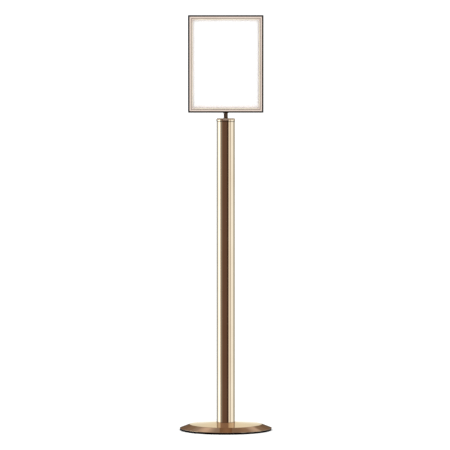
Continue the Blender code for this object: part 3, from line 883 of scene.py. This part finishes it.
# The studio as a mirror sees it. Each ring holds the light round the compass at one height: degrees from
# the camera's side, growing to its right, then brightness and tint.
FLOOR = ((-180, 1.9, DAYLIGHT), (180, 1.9, DAYLIGHT))
LEVEL = (
    (-180, 1.25, DAYLIGHT),
    (-178.3, 1.25, DAYLIGHT),
    (-177, 0.12, TAN),
    (-172, 0.14, TAN),
    (-168, 0.43, COLD),
    (-125, 0.43, COLD),
    (-120, 1.30, COLD),
    (-101, 1.45, COLD),
    (-98, 2.90, DAYLIGHT),
    (-76, 2.90, DAYLIGHT),
    (-72, 0.47, DAYLIGHT),
    (-53, 0.41, DAYLIGHT),
    (-49, 0.31, TAN),
    (-38, 0.28, TAN),
    (-34, 0.21, BROWN),
    (12, 0.20, BROWN),
    (15, 0.09, BROWN),
    (34, 0.10, BROWN),
    (39, 1.48, DAYLIGHT),
    (51, 1.48, DAYLIGHT),
    (54, 0.82, DAYLIGHT),
    (66, 0.82, DAYLIGHT),
    (69, 1.56, COOL),
    (100, 1.70, COOL),
    (104, 0.95, COOL),
    (127, 0.72, COOL),
    (168, 0.70, COOL),
    (172, 0.14, TAN),
    (177, 0.12, TAN),
    (178.3, 1.25, DAYLIGHT),
    (180, 1.25, DAYLIGHT),
)
JUST_ABOVE = (
    (-180, 1.08, CREAM),
    (-178, 1.08, CREAM),
    (-176.3, 0.12, TAN),
    (-172, 0.26, TAN),
    (-150, 0.40, TAN),
    (-128, 1.00, COOL),
    (-78, 1.40, COOL),
    (-70, 0.62, ROSE),
    (-20, 0.56, ROSE),
    (30, 0.56, ROSE),
    (42, 1.20, DAYLIGHT),
    (110, 1.45, COOL),
    (150, 0.40, TAN),
    (172, 0.26, TAN),
    (176.3, 0.12, TAN),
    (178, 1.12, CREAM),
    (180, 1.08, CREAM),
)
SHADE = ((-180, 0.30, TAN), (-120, 0.60, WARM), (0, 0.40, WARM), (120, 0.60, WARM), (180, 0.30, TAN))
RIGHT_BOX = (
    (-180, 0.27, TAN),
    (-174, 0.46, WARM),
    (-158, 0.50, WARM),
    (-120, 0.60, WARM),
    (-8, 0.54, ROSE),
    (8, 0.54, ROSE),
    (120, 0.60, WARM),
    (160, 0.80, WARM),
    (176, 0.80, WARM),
    (180, 0.27, TAN),
)
BOTH_BOXES = (
    (-180, 0.33, TAN),
    (-174, 0.72, WARM),
    (-158, 0.75, WARM),
    (-120, 0.60, WARM),
    (-8, 0.54, ROSE),
    (8, 0.54, ROSE),
    (120, 0.60, WARM),
    (160, 0.66, WARM),
    (176, 0.64, WARM),
    (180, 0.33, TAN),
)
LEFT_BOX = (
    (-180, 0.36, TAN),
    (-174, 0.92, WARM),
    (-158, 0.92, WARM),
    (-120, 0.60, WARM),
    (0, 0.58, ROSE),
    (120, 0.50, WARM),
    (172, 0.44, TAN),
    (180, 0.36, TAN),
)
OVERHEAD = (
    (-180, 0.40, TAN),
    (-172, 0.44, WARM),
    (-60, 0.52, ROSE),
    (0, 0.62, ROSE),
    (60, 0.60, ROSE),
    (172, 0.34, TAN),
    (180, 0.36, TAN),
)
RINGS = (
    (-34, FLOOR),
    (-24, LEVEL),
    (0, LEVEL),
    (6, JUST_ABOVE),
    (20, JUST_ABOVE),
    (23, SHADE),
    (29, SHADE),
    (33, RIGHT_BOX),
    (35, RIGHT_BOX),
    (38, BOTH_BOXES),
    (41, LEFT_BOX),
    (43, LEFT_BOX),
    (47, OVERHEAD),
)
ROOM_LIGHT = 1.30  # what matt surfaces receive
FLOOR_HALF = 40.0
FLOOR_GAP = 0.0002

# Cards that only mirrors see: a soft light in front of the sign, brighter in its middle, and a small
# brown card in front of the neck that tones the cap's rounded edge
CARD_SHEET = 0.002
FACE_CARD_AWAY = 0.50
FACE_CARD_BELOW = 0.0155  # how far it reaches under the frame, and above it
FACE_CARD_ABOVE = 0.075
FACE_CARD_HALF = 0.34
FACE_LIGHT = (1.38, 1.58, 2.06)
LIP_CARD_AWAY = FACE_CARD_AWAY - 0.01
LIP_CARD_INSET = (0.022, 0.020)  # inside the frame's sides, and its top and bottom
LIP_LIGHT = (1.50, 1.88, 2.32)
CAP_CARD_AWAY = 0.046
CAP_CARD_SPAN = (-0.060, 0.018)
CAP_CARD_BELOW = 0.003  # under the cap's top
CAP_CARD_CLEAR = 0.002  # under the frame
CAP_CARD_LIGHT = (0.16, 0.10, 0.075)


def compass_ramp(nodes, compass, stops):
    """A ring's light by compass direction."""
    node = nodes.add("ShaderNodeValToRGB", Fac=compass)
    elements = node.color_ramp.elements
    elements.remove(elements[1])
    for index, (degrees, level, tint) in enumerate(stops):
        spot = (degrees + 180) / 360
        element = elements[0] if index == 0 else elements.new(spot)
        element.position = spot
        element.color = (*(level * channel for channel in tint), 1.0)
    return node.outputs["Color"]


def make_studio():
    """Mirrors see the rings, blended by height; everything else sees an even white room."""
    world = bpy.data.worlds.new("studio")
    bpy.context.scene.world = world
    nodes = Nodes(world)
    world.cycles.sampling_method = "NONE"
    direction = nodes.add("ShaderNodeTexCoord").outputs["Generated"]
    apart = nodes.add("ShaderNodeSeparateXYZ", Vector=direction)
    to_camera = nodes.maths("MULTIPLY", apart.outputs["Y"], -1.0)
    angle = nodes.maths("ARCTAN2", apart.outputs["X"], to_camera)
    compass = nodes.remap(angle, 0.0, 1.0, -math.pi, math.pi)
    ramps = {ring: compass_ramp(nodes, compass, ring) for ring in dict.fromkeys(ring for _, ring in RINGS)}
    light = ramps[RINGS[0][1]]
    for (low, ring), (high, upper) in zip(RINGS, RINGS[1:]):
        if ring is not upper:
            from_low, from_high = (math.sin(math.radians(height)) for height in (low, high))
            share = nodes.remap(apart.outputs["Z"], 0.0, 1.0, from_low, from_high)
            light = nodes.mix(share, light, ramps[upper])
    mirrored = nodes.add("ShaderNodeBackground", Color=light)
    room = nodes.add("ShaderNodeBackground", Color=(1.0, 1.0, 1.0, 1.0), Strength=ROOM_LIGHT)
    glossy = nodes.add("ShaderNodeLightPath").outputs["Is Glossy Ray"]
    chosen = nodes.add("ShaderNodeMixShader")
    for index, value in enumerate((glossy, room.outputs[0], mirrored.outputs[0])):
        nodes.set(chosen, index, value)
    nodes.add("ShaderNodeOutputWorld", Surface=chosen.outputs[0])


def flat_card(name, left, right, low, high, away, colour):
    """A glowing card that only mirrors see, so far in front of the stand."""
    middle = Matrix.Translation(((left + right) / 2, -away, (low + high) / 2))
    card = cuboid(name, (right - left, CARD_SHEET, high - low), middle)
    card.visible_camera = False
    card.visible_diffuse = False
    card.visible_shadow = False
    card.visible_transmission = False
    nodes = Finish(name)
    glow = nodes.add("ShaderNodeEmission", Color=(*colour, 1.0))
    card.data.materials.append(nodes.surface(glow.outputs[0]))


def make_cards():
    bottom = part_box("rail_bottom")[0].z
    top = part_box("rail_top")[1].z
    low = bottom - FACE_CARD_BELOW
    high = top + FACE_CARD_ABOVE
    flat_card("face_card", -FACE_CARD_HALF, FACE_CARD_HALF, low, high, FACE_CARD_AWAY, FACE_LIGHT)
    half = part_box("rail_right")[1].x - LIP_CARD_INSET[0]
    low = bottom + LIP_CARD_INSET[1]
    high = top - LIP_CARD_INSET[1]
    flat_card("lip_card", -half, half, low, high, LIP_CARD_AWAY, LIP_LIGHT)
    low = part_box("post_cap")[1].z - CAP_CARD_BELOW
    high = bottom - CAP_CARD_CLEAR
    flat_card("cap_card", *CAP_CARD_SPAN, low, high, CAP_CARD_AWAY, CAP_CARD_LIGHT)


def make_floor():
    bm = bmesh.new()
    bmesh.ops.create_grid(bm, x_segments=8, y_segments=8, size=FLOOR_HALF)
    floor = object_from("floor", bm)
    floor.location.z = -FLOOR_GAP
    nodes = Finish("floor_pale")
    tone = nodes.mix(nodes.noise(2.0), (0.93, 0.93, 0.925), (0.95, 0.95, 0.945))
    floor.data.materials.append(nodes.principled(Base_Color=tone, Roughness=0.9, Specular_IOR_Level=0.0))
    floor.visible_glossy = False


def make_camera():
    camera = bpy.data.objects.new("camera", bpy.data.cameras.new("camera"))
    bpy.context.scene.collection.objects.link(camera)
    eye = Vector((0.0, -CAMERA_DISTANCE, CAMERA_HEIGHT))
    target = Vector((PICTURE_CENTRE[0], 0.0, PICTURE_CENTRE[1]))
    camera.location = eye
    camera.rotation_mode = "QUATERNION"
    camera.rotation_quaternion = (target - eye).to_track_quat("-Z", "Y")
    camera.data.sensor_width = SENSOR
    camera.data.lens = SENSOR * (target - eye).length / PICTURE_HEIGHT
    camera.data.clip_end = 100.0
    bpy.context.scene.camera = camera
    bpy.context.scene.view_settings.view_transform = "Standard"


make_studio()
make_cards()
make_floor()
make_camera()
dress_cad_nodes()
make_floor_pad()
make_base_cover()
make_post()
make_cap()
make_tie_hardware()
make_tie_rod()
make_neck()
make_frame()
make_bar_screws()
make_inserts()
